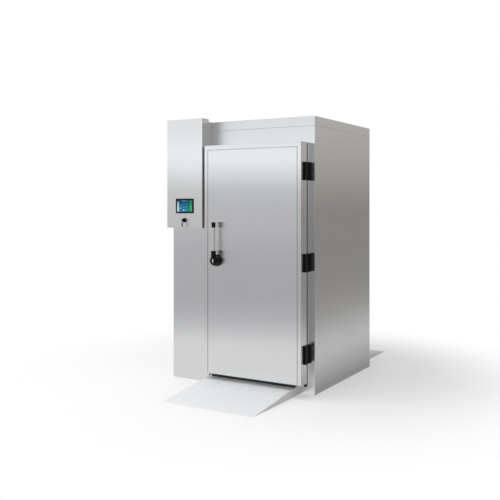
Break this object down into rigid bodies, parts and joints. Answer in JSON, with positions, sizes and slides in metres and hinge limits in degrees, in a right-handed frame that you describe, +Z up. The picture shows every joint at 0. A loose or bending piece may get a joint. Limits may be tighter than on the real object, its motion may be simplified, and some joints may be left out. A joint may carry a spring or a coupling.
{
  "type": "blast chiller",
  "caption": "Roll-in pass-through blast chiller: insulated steel cabinet, hinged doors with lever handles, ramps, control box on a column, and an evaporator with fans behind a hinged panel.",
  "frame": {"origin": "on the floor under the middle of the cabinet", "axes": "+Z up, the front door with the control box faces -Y and has its hinges at +X; the rear door is the same unit turned half round, with its hinges at -X"},
  "size_m": [1.475, 2.943, 2.475],
  "materials": {
    "steel_panel": "satin",
    "steel_door": "satin",
    "steel_frame": "satin",
    "steel_column": "satin",
    "steel_box": "satin",
    "steel_ramp": "matte",
    "steel_floor": "matte",
    "foam": "matte",
    "black_plastic": "satin",
    "black_gloss": "gloss",
    "screen": "gloss",
    "gasket": "matte",
    "rubber": "matte",
    "chrome_bar": "polished",
    "lock_metal": "satin",
    "key_metal": "satin",
    "zinc_plate": "satin",
    "switchgear": "matte",
    "aluminium_fins": "satin",
    "copper": "satin",
    "white_plastic": "satin",
    "wire": "satin",
    "motor": "matte",
    "fan_plastic": "matte"
  },
  "bodies": {
    "cabinet": {"floor_skin": "steel_floor", "ceiling_skin": "steel_panel", "left_wall_skin": "steel_panel", "right_wall_skin": "steel_panel", "front_wall_skin": "steel_panel", "rear_wall_skin": "steel_panel", "panel_cores": "foam", "front_door_frame": "steel_frame", "rear_door_frame": "steel_frame", "frame_hinge_blocks": "black_plastic", "door_keepers": "steel_frame", "front_ramp": "steel_ramp", "rear_ramp": "steel_ramp", "column_cover": "steel_column", "control_housing": "steel_box", "mounting_plate": "zinc_plate", "switchgear": "switchgear", "evaporator_coil": "aluminium_fins", "evaporator_tubes": "copper", "drain_pan": "steel_frame", "service_pipes": "copper", "cable_gland": "black_plastic", "ceiling_light": "white_plastic", "bumper_rails": "steel_frame", "fan_panel_posts": "steel_frame"},
    "front_door": {"front_door_skin": "steel_door", "front_door_liner": "steel_panel", "front_door_core": "foam", "front_door_gasket": "gasket", "front_door_sweep": "rubber", "front_hinge_leaves": "black_plastic", "front_handle_plate": "black_plastic"},
    "front_handle": {"front_handle_hub": "black_plastic", "front_handle_lock": "lock_metal", "front_handle_bar": "chrome_bar", "front_handle_cap": "black_plastic", "front_spindle": "steel_frame"},
    "rear_door": {"rear_door_skin": "steel_door", "rear_door_liner": "steel_panel", "rear_door_core": "foam", "rear_door_gasket": "gasket", "rear_door_sweep": "rubber", "rear_hinge_leaves": "black_plastic", "rear_handle_plate": "black_plastic"},
    "rear_handle": {"rear_handle_hub": "black_plastic", "rear_handle_lock": "lock_metal", "rear_handle_bar": "chrome_bar", "rear_handle_cap": "black_plastic", "rear_spindle": "steel_frame"},
    "control_cover": {"control_cover": "steel_box", "display_bezel": "black_gloss", "display_screen": "screen", "key_switch": "black_plastic"},
    "key": {"key": "key_metal"},
    "fan_panel": {"fan_panel": "steel_panel", "fan_guards": "wire", "fan_motors": "motor"},
    "fan_low": {"fan_low": "fan_plastic"},
    "fan_middle": {"fan_middle": "fan_plastic"},
    "fan_high": {"fan_high": "fan_plastic"}
  },
  "joints": [
    {"name": "front_door_hinge", "type": "hinge", "parent": "cabinet", "child": "front_door", "pos_m": [0.7095, -0.7205, 1.158], "axis": [0, 0, 1], "range_deg": [0, 120]},
    {"name": "front_handle_turn", "type": "hinge", "parent": "front_door", "child": "front_handle", "pos_m": [-0.1485, -0.8395, 1.152], "axis": [0, 1, 0], "range_deg": [0, 90]},
    {"name": "rear_door_hinge", "type": "hinge", "parent": "cabinet", "child": "rear_door", "pos_m": [-0.3485, 0.7205, 1.158], "axis": [0, 0, 1], "range_deg": [0, 120]},
    {"name": "rear_handle_turn", "type": "hinge", "parent": "rear_door", "child": "rear_handle", "pos_m": [0.5095, 0.8395, 1.152], "axis": [0, -1, 0], "range_deg": [0, 90]},
    {"name": "control_cover_hinge", "type": "hinge", "parent": "cabinet", "child": "control_cover", "pos_m": [-0.724, -0.78935, 1.947], "axis": [0, 0, -1], "range_deg": [0, 110]},
    {"name": "key_turn", "type": "hinge", "parent": "control_cover", "child": "key", "pos_m": [-0.5275, -0.8135, 1.511], "axis": [0, 1, 0], "range_deg": [0, 90]},
    {"name": "fan_panel_hinge", "type": "hinge", "parent": "cabinet", "child": "fan_panel", "pos_m": [-0.2412, 0.5355, 1.2195], "axis": [0, 0, 1], "range_deg": [0, 45]},
    {"name": "fan_low_spin", "type": "hinge", "parent": "fan_panel", "child": "fan_low", "pos_m": [-0.3, 0, 0.50917], "axis": [1, 0, 0], "continuous": true},
    {"name": "fan_middle_spin", "type": "hinge", "parent": "fan_panel", "child": "fan_middle", "pos_m": [-0.3, 0, 1.2195], "axis": [1, 0, 0], "continuous": true},
    {"name": "fan_high_spin", "type": "hinge", "parent": "fan_panel", "child": "fan_high", "pos_m": [-0.3, 0, 1.92983], "axis": [1, 0, 0], "continuous": true}
  ]
}
